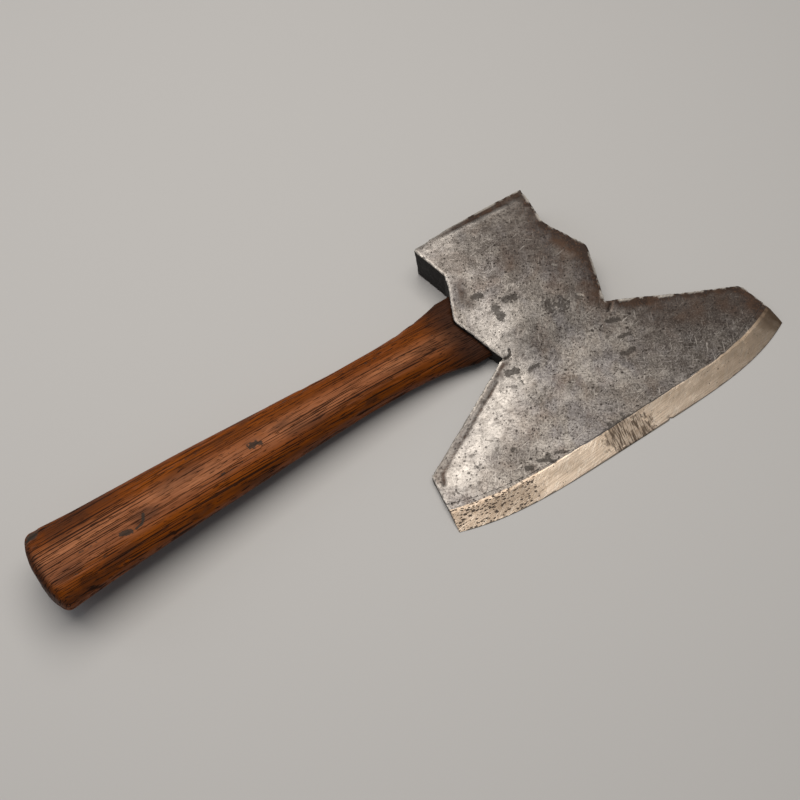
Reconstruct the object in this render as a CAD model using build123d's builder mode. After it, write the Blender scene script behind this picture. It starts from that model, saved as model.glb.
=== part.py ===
"""Broad axe: a single-bevel hewing axe with a wide blade and a short haft.

Five pieces: the forged iron body, the tool-steel bit welded to its flat side, the haft,
the hardwood wedge in the haft's kerf and two steel cross wedges. Millimetres.

Frame: the origin lies on the flat back, under the middle of the eye. +X runs along the eye
from the haft to the toe side, +Y to the poll, -Y to the cutting edge, and +Z up from the
flat back to the forged face. The haft leaves the head towards -X.
"""
import os
from math import atan2, cos, pi, radians, sin, tan

from build123d import *

# Eye: it runs along X through both lugs, wide towards the poll and narrow at its nose
EYE_WIDTH = 54.0            # along Y, from the poll end to the nose
EYE_HEIGHT = 17.0           # at the poll end
EYE_NOSE_HEIGHT = 6.0       # at the nose
EYE_SQUARENESS = 2.5        # exponent of the oval: 2 is an ellipse, more is boxier
EYE_FLOOR = 6.0             # wall between the eye and the flat back
EYE_ROOF = 7.0              # iron above the eye at the poll
NOSE_ROOF = 0.5             # how far the neck's face clears the height of the nose

# Plan of the head, measured where the walls meet the flat back
POLL_WIDTH = 98.0           # across the poll
POLL_DEPTH = 31.5           # from the waist to the poll's face
POLL_SKEW = 1.5             # the toe corner of the poll stands further out than the heel one
POLL_CROWN = 1.8            # the poll's face bows out this much in the middle
WAIST_WIDTH = 87.5          # between the two hollows beside the poll
WAIST_WALL = 12.0           # from the poll end of the eye to the waist
LUG_SPAN = 121.0            # across the tips of the lugs
LUG_TIP = 3.5               # the tips stand this far towards the poll from the eye's middle
LUG_RADIUS = 5.0
LUG_TOP_WIDTH = 94.0        # across the upper ends of the lugs' slopes
LUG_TOP_FALL = 9.5          # from the waist to where those slopes start
NECK_WIDTH = 92.5           # between the two notches
NOTCH_WALL = 12.5           # from the nose of the eye to the notches
HEEL_NOTCH_RISE = 2.0       # the heel notch lies nearer the poll than the toe notch
SHOULDER_WIDTH = 158.0      # the blade's shoulders bend a little at this width
SHOULDER_DROP = 13.0        # how far the bend lies below the notches
TOE_WING_INSET = 5.4        # from the edge's toe corner in to the toe wing's upper corner
TOE_WING_DROP = 44.0        # from the notches down to that corner
TOE_CORNER_RADIUS = 9.0     # this corner is rounded, the heel wing's is sharp
HEEL_WING_INSET = 7.9
HEEL_WING_DROP = 45.0
WALL_DRAFT = 5.0            # degrees: every wall leans out as it rises

# Cutting edge
EDGE_CHORD = 304.8          # straight across the edge's corners
BLADE_DEPTH = 103.0         # from the notches to the middle of the edge
TOE_BOW = 17.0              # how far the edge sweeps up to its toe corner
HEEL_BOW = 14.0             # and to its heel corner
BOW_POWER = 4               # the edge is flat in the middle and sweeps up near its ends
EDGE_LAND = 0.3             # thickness left at the very edge
BEVEL_SLOPE = 16.5          # degrees, between the ground bevel and the flat back

# Thickness of the head above the flat back
WAIST_FALL = 0.9            # the forged face is this much lower at the waist than at the poll
LUG_FALL = 5.2              # and this much lower beside the lugs' tips
BLADE_THICKNESS = 5.4       # at the top of the bevel, in the middle of the blade
ROOT_RUN = 32.0             # from the notches to where the blade's flat taper starts
ROOT_RISE = 0.9             # extra thickness there
WING_THINNING = 1.4         # the wings' ends are this much thinner than the middle

# Steel bit
BIT_LAP = 42.0              # from the edge back along the flat to the end of the weld
BIT_LIP = 1.0               # thickness of the bit at the end of its lap

# Haft
HAFT_REACH = 345.0          # from the lug's tip to the butt
HAFT_RISE = 0.060           # it climbs from the flat back as it runs to the butt
HAFT_DRIFT = 12.0           # at the butt it has drifted this far towards the edge,
DRIFT_POWER = 1.6           # on a gentle curve
SHOULDER_SIDE = 1.5         # against the lug, the haft stands proud of the eye at its ends,
SHOULDER_NOSE_STEP = 3.5    # above and below its nose,
SHOULDER_POLL_STEP = 1.5    # and above and below its poll end
HAFT_SQUARENESS = 2.35      # exponent of the haft's oval
NECK_STATION = 58.0         # from the lug's tip to the haft's narrowest section
NECK_SECTION = (41.0, 26.5)
GRIP_STATION = 165.0
GRIP_SECTION = (46.0, 28.0)
SWELL_STATION = 268.0
SWELL_SECTION = (54.5, 29.0)
BUTT_SECTION = (64.0, 31.0)
BUTT_CROWN = 75.0           # radius of the domed end, seen from above
BUTT_ROUNDING = 6.0
TONGUE_CROWN = 60.0         # radius of the tongue's dressed end, seen from above
TONGUE_SHY = 3.5            # the tongue's end stands back from the lug's tip

# Wedges
WEDGE_DEPTH = 46.0
WEDGE_HEAD = 4.2            # thickness of the hardwood wedge at its head
WEDGE_TIP = 1.0
CROSS_WEDGE_DEPTH = 24.0
CROSS_WEDGE_HEAD = 3.0
CROSS_WEDGE_TIP = 0.6
CROSS_WEDGE_SHARE = 0.68    # of the eye's height where the wedge is driven
CROSS_WEDGE_SPOTS = (16.0, -5.0)

# Worked out from the values above
POLL_THICKNESS = EYE_FLOOR + EYE_HEIGHT + EYE_ROOF
NECK_THICKNESS = EYE_FLOOR + EYE_NOSE_HEIGHT + NOSE_ROOF
WAIST_Y = EYE_WIDTH / 2 + WAIST_WALL
POLL_Y = WAIST_Y + POLL_DEPTH
NOTCH_Y = -EYE_WIDTH / 2 - NOTCH_WALL
LUG_TOP = WAIST_Y - LUG_TOP_FALL
EDGE_Y = NOTCH_Y - BLADE_DEPTH
BEVEL_TAN = tan(radians(BEVEL_SLOPE))
BEVEL_REACH = (BLADE_THICKNESS - EDGE_LAND) / BEVEL_TAN
LUG_X = LUG_SPAN / 2 + (POLL_THICKNESS - LUG_FALL) * tan(radians(WALL_DRAFT))
BUTT_X = -LUG_X - HAFT_REACH
TONGUE_END = LUG_X - TONGUE_SHY
EYE_SLANT = (EYE_HEIGHT - EYE_NOSE_HEIGHT) / 2 / EYE_WIDTH
EYE_MIDDLE_Z = EYE_FLOOR + (EYE_HEIGHT + EYE_NOSE_HEIGHT) / 4
MARGIN = 20.0               # how far cutting tools run past what they cut
HEADROOM = POLL_THICKNESS + MARGIN

os.makedirs("parts", exist_ok=True)


def eye_height(y):
    """Height of the eye at a distance from its middle."""
    share = 0.5 + y / EYE_WIDTH
    return EYE_NOSE_HEIGHT + (EYE_HEIGHT - EYE_NOSE_HEIGHT) * share


def edge_y(x):
    """Y of the cutting edge at x: flat in the middle, swept up towards its corners."""
    bow = TOE_BOW if x > 0 else HEEL_BOW
    return EDGE_Y + bow * abs(2 * x / EDGE_CHORD) ** BOW_POWER


def oval(width, height_at, squareness, middle=(0.0, 0.0), points=24):
    """Points around a boxy oval, whose height may change across its width."""
    ring = []
    for step in range(points):
        turn = 2 * pi * step / points
        across, up = cos(turn), sin(turn)
        y = width / 2 * abs(across) ** (2 / squareness) * (1 if across > 0 else -1)
        z = height_at(y) / 2 * abs(up) ** (2 / squareness) * (1 if up > 0 else -1)
        ring.append((middle[0] + y, middle[1] + z))
    return ring


def eye_section(x, side=0.0, nose_step=0.0, poll_step=0.0):
    """The eye's cross-section on the plane at x, made larger by a margin and two steps."""

    def height_at(y):
        return eye_height(y) + nose_step + poll_step + (poll_step - nose_step) * 2 * y / EYE_WIDTH

    ring = oval(EYE_WIDTH + 2 * side, height_at, EYE_SQUARENESS)
    with BuildSketch(Plane.YZ.offset(x)) as section:
        with BuildLine():
            Spline([(y, z + EYE_FLOOR + eye_height(y) / 2) for y, z in ring], periodic=True)
        make_face()
    return section.sketch


def haft_section(station, size):
    """The haft's cross-section at a distance from the lug's tip."""
    drift = HAFT_DRIFT * (station / HAFT_REACH) ** DRIFT_POWER
    middle = (-drift, EYE_MIDDLE_Z + HAFT_RISE * station)
    ring = oval(size[0], lambda y: size[1], HAFT_SQUARENESS, middle)
    with BuildSketch(Plane.YZ.offset(-LUG_X - station)) as section:
        with BuildLine():
            Spline(ring, periodic=True)
        make_face()
    return section.sketch


def behind_edge(setback, height):
    """The plan behind the cutting edge, its front moved back by a setback."""
    wide = EDGE_CHORD / 2 + MARGIN
    steps = [wide * share / 6 for share in range(-6, 7)]
    with BuildSketch(Plane.XY.offset(height)) as region:
        with BuildLine():
            front = Spline([(x, edge_y(x) + setback) for x in steps])
            back = POLL_Y + setback + MARGIN
            Polyline(front @ 1, (wide, back), (-wide, back), front @ 0)
        make_face()
    return region.sketch


def face_profile(x, thinning):
    """The head seen along X: flat back, and the forged face that falls to the blade."""
    root_y = NOTCH_Y - ROOT_RUN
    blade_run = root_y - EDGE_Y - BEVEL_REACH
    taper = ROOT_RISE / blade_run
    front_y = EDGE_Y - MARGIN
    front_z = BLADE_THICKNESS - thinning - taper * (BEVEL_REACH + MARGIN)
    with BuildSketch(Plane.YZ.offset(x)) as profile:
        with BuildLine():
            face = Spline(
                (POLL_Y + MARGIN, POLL_THICKNESS),
                (WAIST_Y, POLL_THICKNESS - WAIST_FALL),
                (LUG_TIP, POLL_THICKNESS - LUG_FALL),
                (NOTCH_Y, NECK_THICKNESS),
                (root_y, BLADE_THICKNESS + ROOT_RISE - thinning),
                tangents=((-1, 0), (-1, -taper)),
            )
            Polyline(
                face @ 1,
                (front_y, front_z),
                (front_y, 0),
                (POLL_Y + MARGIN, 0),
                face @ 0,
            )
        make_face()
    return profile.sketch


# Head blank: the drafted plan, under the forged face and behind the bevel
with BuildPart() as plan:
    with BuildSketch(Plane.XY) as outline:
        with BuildLine():
            poll = ThreePointArc(
                (-POLL_WIDTH / 2, POLL_Y - POLL_SKEW),
                (0, POLL_Y + POLL_CROWN),
                (POLL_WIDTH / 2, POLL_Y + POLL_SKEW),
            )
            Polyline(
                poll @ 1,
                (WAIST_WIDTH / 2, WAIST_Y),
                (LUG_TOP_WIDTH / 2, LUG_TOP),
                (LUG_SPAN / 2, LUG_TIP),
                (NECK_WIDTH / 2, NOTCH_Y),
                (SHOULDER_WIDTH / 2, NOTCH_Y - SHOULDER_DROP),
                (EDGE_CHORD / 2 - TOE_WING_INSET, NOTCH_Y - TOE_WING_DROP),
                (EDGE_CHORD / 2, EDGE_Y + TOE_BOW),
                (EDGE_CHORD / 2, EDGE_Y - MARGIN),
                (-EDGE_CHORD / 2, EDGE_Y - MARGIN),
                (-EDGE_CHORD / 2, EDGE_Y + HEEL_BOW),
                (HEEL_WING_INSET - EDGE_CHORD / 2, NOTCH_Y - HEEL_WING_DROP),
                (-SHOULDER_WIDTH / 2, NOTCH_Y - SHOULDER_DROP),
                (-NECK_WIDTH / 2, NOTCH_Y + HEEL_NOTCH_RISE),
                (-LUG_SPAN / 2, LUG_TIP),
                (-LUG_TOP_WIDTH / 2, LUG_TOP),
                (-WAIST_WIDTH / 2, WAIST_Y),
                poll @ 0,
            )
        make_face()
        corners = outline.vertices()
        lug_tips = corners.filter_by_position(Axis.Y, LUG_TIP - 0.1, LUG_TIP + 0.1)
        fillet(lug_tips, LUG_RADIUS)
        wing_y = NOTCH_Y - TOE_WING_DROP
        wing_tips = outline.vertices().filter_by_position(Axis.Y, wing_y - 0.1, wing_y + 0.1)
        fillet(wing_tips.sort_by(Axis.X)[-1], TOE_CORNER_RADIUS)
    extrude(amount=HEADROOM, taper=-WALL_DRAFT)

with BuildPart() as blank:
    reach = EDGE_CHORD / 2 + MARGIN
    loft(
        [
            face_profile(-reach, WING_THINNING),
            face_profile(0, 0),
            face_profile(reach, WING_THINNING),
        ]
    )
    add(plan.part, mode=Mode.INTERSECT)

with BuildPart() as bevel:
    rise = HEADROOM - EDGE_LAND
    extrude(behind_edge(0, 0), amount=EDGE_LAND)
    loft([behind_edge(0, EDGE_LAND), behind_edge(rise / BEVEL_TAN, HEADROOM)], ruled=True)

with BuildPart() as head:
    add(blank.part)
    add(bevel.part, mode=Mode.INTERSECT)

# The scarf: everything below and in front of it is steel
with BuildPart() as scarf:
    scarf_run = BIT_LAP - BEVEL_REACH
    scarf_top = 2 * BLADE_THICKNESS
    scarf_drop = (scarf_top - BIT_LIP) * scarf_run / (BLADE_THICKNESS - BIT_LIP)
    extrude(behind_edge(BIT_LAP, 0), amount=BIT_LIP)
    loft([behind_edge(BIT_LAP, BIT_LIP), behind_edge(BIT_LAP - scarf_drop, scarf_top)], ruled=True)
    extrude(behind_edge(BIT_LAP - scarf_drop, scarf_top), amount=HEADROOM)

with BuildPart() as axe_body:
    add(head.part)
    add(scarf.part, mode=Mode.INTERSECT)
    extrude(eye_section(-LUG_X - MARGIN), amount=2 * (LUG_X + MARGIN), dir=(1, 0, 0), mode=Mode.SUBTRACT)

with BuildPart() as steel_bit:
    add(head.part)
    add(scarf.part, mode=Mode.SUBTRACT)

# Wedges: tapered slabs driven in from the toe side
slanted = Plane(
    origin=(TONGUE_END, 0, EYE_MIDDLE_Z),
    x_dir=(1, 0, 0),
    z_dir=(0, cos(atan2(EYE_SLANT, 1)), sin(atan2(EYE_SLANT, 1))),
)

with BuildPart() as wedge_slab:
    with BuildSketch(slanted):
        with BuildLine():
            Polyline(
                (0, WEDGE_HEAD / 2),
                (0, -WEDGE_HEAD / 2),
                (-WEDGE_DEPTH, -WEDGE_TIP / 2),
                (-WEDGE_DEPTH, WEDGE_TIP / 2),
                close=True,
            )
        make_face()
    extrude(amount=EYE_WIDTH, both=True)

with BuildPart() as cross_wedges:
    for spot in CROSS_WEDGE_SPOTS:
        half_width = CROSS_WEDGE_SHARE * eye_height(spot) / 2
        middle_z = EYE_FLOOR + eye_height(spot) / 2
        with BuildSketch(Plane.XY.offset(middle_z)):
            with BuildLine():
                Polyline(
                    (TONGUE_END, spot + CROSS_WEDGE_HEAD / 2),
                    (TONGUE_END, spot - CROSS_WEDGE_HEAD / 2),
                    (TONGUE_END - CROSS_WEDGE_DEPTH, spot - CROSS_WEDGE_TIP / 2),
                    (TONGUE_END - CROSS_WEDGE_DEPTH, spot + CROSS_WEDGE_TIP / 2),
                    close=True,
                )
            make_face()
        extrude(amount=half_width, both=True)

# The tongue fills the eye, and its far end is dressed to a shallow curve
with BuildPart() as tongue:
    extrude(eye_section(-LUG_X), amount=LUG_X + TONGUE_END, dir=(1, 0, 0))
    with BuildSketch(Plane.XY):
        with Locations((TONGUE_END - TONGUE_CROWN, 0)):
            Circle(TONGUE_CROWN)
        with Locations((-LUG_X, 0)):
            Rectangle(TONGUE_CROWN, 2 * EYE_WIDTH)
    extrude(amount=HEADROOM, mode=Mode.INTERSECT)

with BuildPart() as grip:
    shoulder = eye_section(-LUG_X, SHOULDER_SIDE, SHOULDER_NOSE_STEP, SHOULDER_POLL_STEP)
    loft(
        [
            shoulder,
            haft_section(NECK_STATION, NECK_SECTION),
            haft_section(GRIP_STATION, GRIP_SECTION),
            haft_section(SWELL_STATION, SWELL_SECTION),
            haft_section(HAFT_REACH, BUTT_SECTION),
        ]
    )
    extrude(shoulder, amount=LUG_X - WAIST_WIDTH / 2, dir=(1, 0, 0))
    with BuildSketch(Plane.XY):
        with Locations((BUTT_X + BUTT_CROWN, -HAFT_DRIFT)):
            Circle(BUTT_CROWN)
        with Locations((BUTT_X + BUTT_CROWN + HAFT_REACH / 2, 0)):
            Rectangle(HAFT_REACH, 4 * EYE_WIDTH)
    extrude(amount=4 * HEADROOM, mode=Mode.INTERSECT)
    fillet(grip.faces().sort_by(Axis.X)[0].edges(), BUTT_ROUNDING)
    add(head.part, mode=Mode.SUBTRACT)

with BuildPart() as handle:
    add(grip.part)
    add(tongue.part)
    add(wedge_slab.part, mode=Mode.SUBTRACT)
    add(cross_wedges.part, mode=Mode.SUBTRACT)

with BuildPart() as eye_wedge:
    add(tongue.part)
    add(wedge_slab.part, mode=Mode.INTERSECT)
    add(cross_wedges.part, mode=Mode.SUBTRACT)

with BuildPart() as steel_wedges:
    add(cross_wedges.part)
    add(tongue.part, mode=Mode.INTERSECT)

axe_body.part.label = "axe_body"
steel_bit.part.label = "steel_bit"
handle.part.label = "handle"
eye_wedge.part.label = "eye_wedge"
steel_wedges.part.label = "steel_wedges"

export_step(axe_body.part, "parts/axe_body.step")
export_step(steel_bit.part, "parts/steel_bit.step")
export_step(handle.part, "parts/handle.step")
export_step(eye_wedge.part, "parts/eye_wedge.step")
export_step(steel_wedges.part, "parts/steel_wedges.step")
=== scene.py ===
"""A broad axe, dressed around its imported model: forged head, ground bit, hardwood haft and their wear.

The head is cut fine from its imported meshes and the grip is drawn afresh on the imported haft. Both are then
worn by mesh work: hammer marks, pits, burred rims, a crack, dents and open grain. Sizes are in millimetres
unless a comment says otherwise, in the part's own frame: +X from the haft's butt to the head, +Y to the
poll, +Z out of the flat back.
"""

import logging
import math
from dataclasses import dataclass, field
from enum import Enum
from typing import Any

import bmesh
import bpy
import numpy as np
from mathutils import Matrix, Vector, noise
from mathutils.bvhtree import BVHTree
from mathutils.kdtree import KDTree


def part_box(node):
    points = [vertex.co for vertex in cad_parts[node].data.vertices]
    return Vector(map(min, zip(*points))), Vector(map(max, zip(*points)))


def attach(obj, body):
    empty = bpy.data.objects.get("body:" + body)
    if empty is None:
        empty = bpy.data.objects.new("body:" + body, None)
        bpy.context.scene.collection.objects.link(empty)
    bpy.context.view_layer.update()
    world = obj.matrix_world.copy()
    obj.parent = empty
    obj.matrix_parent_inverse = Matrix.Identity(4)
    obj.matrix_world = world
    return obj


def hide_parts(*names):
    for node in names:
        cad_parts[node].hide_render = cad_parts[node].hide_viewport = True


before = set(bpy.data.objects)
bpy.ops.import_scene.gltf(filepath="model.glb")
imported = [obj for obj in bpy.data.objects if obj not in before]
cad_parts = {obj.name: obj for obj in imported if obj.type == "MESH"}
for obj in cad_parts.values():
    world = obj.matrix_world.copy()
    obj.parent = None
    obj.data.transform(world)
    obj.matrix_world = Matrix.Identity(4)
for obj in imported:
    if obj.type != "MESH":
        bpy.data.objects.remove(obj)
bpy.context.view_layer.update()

LOG = logging.getLogger("broad_axe")
MM = 0.001
BODY = "root"
SEED_STEP = np.array((17.3, 29.9, 41.7))  # how far one seed lies from the next in a noise field
STRAY = 0.9  # how far noise moves a ragged mark's outline, as a share of the mark's full strength
FAR = 200.0  # a setback beyond the head's own size, for what has none
CLEAR = 150.0  # a distance well clear of the haft, where rays towards it start
GRAIN = "grain"  # the haft's own coordinates, straight along its bent axis

Socket = bpy.types.NodeSocket
Triple = tuple[float, float, float]


class Mask(Enum):
    """The masks painted on the meshes, one number per point, which the finishes read."""

    RIM = "rim"  # bright metal along a worn or burred rim, and a painted highlight along the lit rims
    RUST = "rust"  # brown oxide
    STAIN = "stain"  # dark blotches and the insides of cracks
    WEAR_AND_HIGHLIGHT = "wear_and_highlight"  # where the patina is lighter: partly rubbed bright by handling, partly a painted highlight
    SHADE_AND_DARK_PATINA = "shade"  # where the metal is darker: partly patina that has stayed dark, partly painted shade
    WALL = "wall"  # forged side walls, dark with scale and with painted shade
    PITTED = "pitted"  # corroded stretch of the bevel
    SETBACK = "setback"  # distance behind the cutting edge, in millimetres
    GRIME_AND_SHADE = "grime_and_shade"  # dirt worked into the wood, darker towards the lug, and painted shade on the underside
    CROWN_HIGHLIGHT = "crown"  # top of the haft, painted pale as a highlight


def linear(colour: str) -> tuple[float, float, float, float]:
    """Turns an sRGB hex colour to linear.

    Args:
        colour: six hex digits after a #.

    Returns:
        The linear red, green and blue, and an alpha of 1.
    """
    channels = [int(colour[i : i + 2], 16) / 255 for i in (1, 3, 5)]
    red, green, blue = (c / 12.92 if c <= 0.04045 else ((c + 0.055) / 1.055) ** 2.4 for c in channels)
    return red, green, blue, 1.0


def ease(value: np.ndarray, start: float, end: float) -> np.ndarray:
    """Goes smoothly from 0 where the value is at start to 1 at end, which lies below start for a fall."""
    t = np.clip((value - start) / (end - start), 0.0, 1.0)
    return t * t * (3.0 - 2.0 * t)


def ripple(points: np.ndarray, size: Triple, seed: int, octaves: int = 2) -> np.ndarray:
    """Samples smooth noise, about -1 to 1, at each point, with bumps of a size along x, y and z."""
    placed = points / np.array(size) + seed * SEED_STEP
    return np.array([noise.fractal(p, 1.0, 2.0, octaves) for p in placed.tolist()])


def show(name: str, data: bpy.types.ID) -> bpy.types.Object:
    """Makes an object and links it to the scene.

    Args:
        name: the object's name.
        data: its mesh, lamp or camera.

    Returns:
        The new object.
    """
    thing = bpy.data.objects.new(name, data)
    bpy.context.scene.collection.objects.link(thing)
    return thing


@dataclass(frozen=True)
class Stroke:
    """A mark on the side that faces up, drawn along a path of (x, y) points."""

    mask: Mask
    width: float  # from its middle line to where it has faded
    strength: float
    path: tuple[tuple[float, float], ...]
    depth: float = 0.0  # how far it is sunk into the surface

    def weight(self, points: np.ndarray) -> np.ndarray:
        """Says how much of the mark each point takes.

        Args:
            points: one row of x, y and z per point.

        Returns:
            From 0 off the mark, rising evenly to 1 on its path.
        """
        flat = points[:, :2]
        nearest = np.full(len(flat), np.inf)
        ends = self.path[1:] or self.path
        for start, end in zip(self.path, ends):
            origin, run = np.array(start), np.subtract(end, start)
            share = np.clip((flat - origin) @ run / max(run @ run, 1e-9), 0.0, 1.0)
            gap = np.linalg.norm(flat - origin - share[:, None] * run, axis=1)
            nearest = np.minimum(nearest, gap)
        return np.clip(1.0 - nearest / self.width, 0.0, 1.0)


def strokes(mask: Mask, *rows: tuple[Any, ...]) -> tuple[Stroke, ...]:
    """Makes strokes of one mask, from rows of width, strength, path and, for a sunk one, depth."""
    return tuple(Stroke(mask, *row) for row in rows)


class Skin:
    """A mesh being worked: its points in millimetres, their normals and the masks painted on them."""

    def __init__(self, mesh: bmesh.types.BMesh) -> None:
        """Keeps the mesh and reads its points.

        Args:
            mesh: the mesh to work, in metres.
        """
        self.mesh = mesh
        mesh.verts.ensure_lookup_table()
        mesh.normal_update()
        self.points = np.array([v.co for v in mesh.verts]) / MM
        self.normals = np.array([v.normal for v in mesh.verts])
        self.masks: dict[Mask, np.ndarray] = {}

    def paint(self, mask: Mask, weight: np.ndarray) -> None:
        """Adds a weight to a mask, which keeps the stronger of the two at each point."""
        self.masks[mask] = np.maximum(self.masks.get(mask, 0.0), weight)

    def draw(self, marks: tuple[Stroke, ...], wander: float) -> np.ndarray:
        """Draws strokes on the side that faces up, with uneven outlines.

        Args:
            marks: the strokes.
            wander: how far an outline strays from its path, as a share of its width.

        Returns:
            How deep the strokes sink each point.
        """
        facing = ease(self.normals[:, 2], 0.1, 0.5)
        depth = np.zeros(len(self.points))
        stray = np.stack([ripple(self.points, (7, 7, 7), seed) for seed in (31, 32)] + [depth], axis=1)
        for stroke in marks:
            weight = stroke.weight(self.points + stray * stroke.width * wander) * facing
            self.paint(stroke.mask, weight * stroke.strength)
            depth += ease(weight, 0.0, 0.7) * stroke.depth
        return depth

    def near(self, others: list[BVHTree], reach: float) -> np.ndarray:
        """Says which points lie against other pieces.

        Args:
            others: the other pieces' surfaces, in metres.
            reach: the distance that counts as touching.

        Returns:
            True for each point that touches one.
        """
        touching = np.zeros(len(self.points), bool)
        for i, point in enumerate(self.points * MM):
            touching[i] = any(tree.find_nearest(point, reach * MM)[0] is not None for tree in others)
        return touching

    def finish(self, name: str, sharp: float) -> bpy.types.Object:
        """Writes the points and masks back and makes the object.

        Args:
            name: the object's name.
            sharp: the angle in degrees above which an edge stays sharp.

        Returns:
            The new object, in metres.
        """
        for vert, point in zip(self.mesh.verts, (self.points * MM).tolist()):
            vert.co = point
        data = bpy.data.meshes.new(name)
        self.mesh.to_mesh(data)
        self.mesh.free()
        for mask, weight in self.masks.items():
            layer = data.attributes.new(mask.value, "FLOAT", "POINT")
            layer.data.foreach_set("value", weight.astype(np.float32))
        data.polygons.foreach_set("use_smooth", [True] * len(data.polygons))
        data.set_sharp_from_angle(angle=math.radians(sharp))
        return show(name, data)


def surface(node: str) -> BVHTree:
    """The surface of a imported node, to cast rays at."""
    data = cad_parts[node].data
    return BVHTree.FromPolygons([v.co for v in data.vertices], [p.vertices for p in data.polygons])


def cut_fine(node: str, steps: Triple) -> bmesh.types.BMesh:
    """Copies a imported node's mesh and cuts it into a fine grid, with its shape unchanged.

    Args:
        node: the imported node.
        steps: how far apart the cuts are along x, y and z.

    Returns:
        The new mesh, in metres.
    """
    mesh = bmesh.new()
    mesh.from_mesh(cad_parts[node].data)
    bmesh.ops.remove_doubles(mesh, verts=mesh.verts, dist=MM * 0.001)
    bmesh.ops.dissolve_limit(mesh, angle_limit=math.radians(0.03), verts=mesh.verts, edges=mesh.edges)
    low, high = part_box(node)
    for axis, step in enumerate(steps):
        count = round((high[axis] - low[axis]) / (step * MM))
        normal = Vector([float(i == axis) for i in range(3)])
        for k in range(1, count):
            place = normal * (low[axis] + (high[axis] - low[axis]) * k / count)
            everything = mesh.verts[:] + mesh.edges[:] + mesh.faces[:]
            bmesh.ops.bisect_plane(mesh, geom=everything, dist=1e-7, plane_co=place, plane_no=normal)
    return mesh


def cut_finer(
    mesh: bmesh.types.BMesh, low: tuple[float, float], high: tuple[float, float], step: float
) -> None:
    """Cuts the upper side again between two corners, for a mark that is finer than the grid.

    Args:
        mesh: the mesh, in metres.
        low: the lower corner, as x and y.
        high: the higher corner.
        step: how far apart the cuts are.
    """
    for axis in (0, 1):
        normal = Vector([float(i == axis) for i in range(3)])
        for place in np.arange(low[axis], high[axis], step):
            near = [
                face
                for face in mesh.faces
                if face.normal.z > 0.3
                and all(low[i] < face.calc_center_bounds()[i] / MM < high[i] for i in (0, 1))
            ]
            around = list({part for face in near for part in (*face.verts, *face.edges, face)})
            point = normal * float(place) * MM
            bmesh.ops.bisect_plane(mesh, geom=around, dist=1e-7, plane_co=point, plane_no=normal)


class Nodes:
    """The node tree of one material, built a node at a time."""

    def __init__(self, name: str, grain: bool = False) -> None:
        """Makes a material with only its coordinates, in metres.

        Args:
            name: the material's name.
            grain: whether it follows the wood's grain and not the part's frame.
        """
        self.material = bpy.data.materials.new(name)
        self.material.use_nodes = True
        self.tree = self.material.node_tree
        self.tree.nodes.clear()
        if grain:
            self.coords = self.add("Attribute", attribute_name=GRAIN).outputs["Vector"]
        else:
            self.coords = self.add("TexCoord").outputs["Object"]

    def add(self, kind: str, inputs: dict[int | str, Any] | None = None, **settings: Any) -> bpy.types.Node:
        """Adds a node with its settings and links.

        Args:
            kind: the node's type, without the ShaderNode in front.
            inputs: a value or another node's socket for each input that is set.
            settings: the node's own properties.

        Returns:
            The new node.
        """
        node = self.tree.nodes.new("ShaderNode" + kind)
        for name, value in settings.items():
            setattr(node, name, value)
        for name, value in (inputs or {}).items():
            if isinstance(value, Socket):
                self.tree.links.new(value, node.inputs[name])
            else:
                node.inputs[name].default_value = value
        return node

    def read(self, mask: Mask) -> Socket:
        """The value of a mask painted on the mesh."""
        return self.add("Attribute", attribute_name=mask.value).outputs["Fac"]

    def combine(self, operation: str, *terms: Any) -> Socket:
        """Folds numbers or sockets together with one operation, clamped to 0 to 1.

        Args:
            operation: MULTIPLY, ADD, SUBTRACT or another of the Math node's.
            terms: numbers or sockets, in order.

        Returns:
            The result's socket.
        """
        total = terms[0]
        for term in terms[1:]:
            total = self.add("Math", {0: total, 1: term}, operation=operation, use_clamp=True).outputs[0]
        return total

    def coats(self, base: str, *coats: tuple[Any, Any, str]) -> Socket:
        """Lays colours over each other.

        Args:
            base: the hex colour underneath.
            coats: for each coat, the mask that shows it, how much it covers there and its hex colour.

        Returns:
            The colour's socket.
        """
        colour = linear(base)
        for mask, cover, tint in coats:
            amount = self.combine("MULTIPLY", mask, cover)
            colour = self.add("Mix", {0: amount, 6: colour, 7: linear(tint)}, data_type="RGBA").outputs[2]
        return colour

    def ragged(self, mask: Mask, grit: float, detail: float) -> Socket:
        """Reads a painted mask and breaks up its outline.

        Args:
            mask: the painted mask.
            grit: how large the breaks in its outline are, in millimetres.
            detail: how many finer layers they have.

        Returns:
            The broken mask's socket, from 0 to 1.
        """
        painted = self.read(mask)
        cloud = self.add("TexNoise", {"Vector": self.coords, "Scale": 1 / (grit * MM), "Detail": detail})
        offset = self.add("Math", {0: cloud.outputs[0], 1: 2 * STRAY, 2: -STRAY}, operation="MULTIPLY_ADD")
        moved = self.add("Math", {0: painted, 1: offset.outputs[0]}, operation="ADD").outputs[0]
        reach = self.add("MapRange", {0: moved, 1: 0.3, 2: 0.62}, interpolation_type="SMOOTHSTEP").outputs[0]
        return self.combine("MULTIPLY", reach, painted, 2.5)

    def levels(self, base: Any, *levels: tuple[Any, float]) -> Socket:
        """Lays numbers over each other, as coats() does with colours.

        Args:
            base: the number or socket underneath.
            levels: for each layer, the mask that shows it and its number.

        Returns:
            The number's socket.
        """
        number = base
        for mask, value in levels:
            number = self.add("Mix", {0: mask, 2: number, 3: value}, data_type="FLOAT").outputs[0]
        return number


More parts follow.
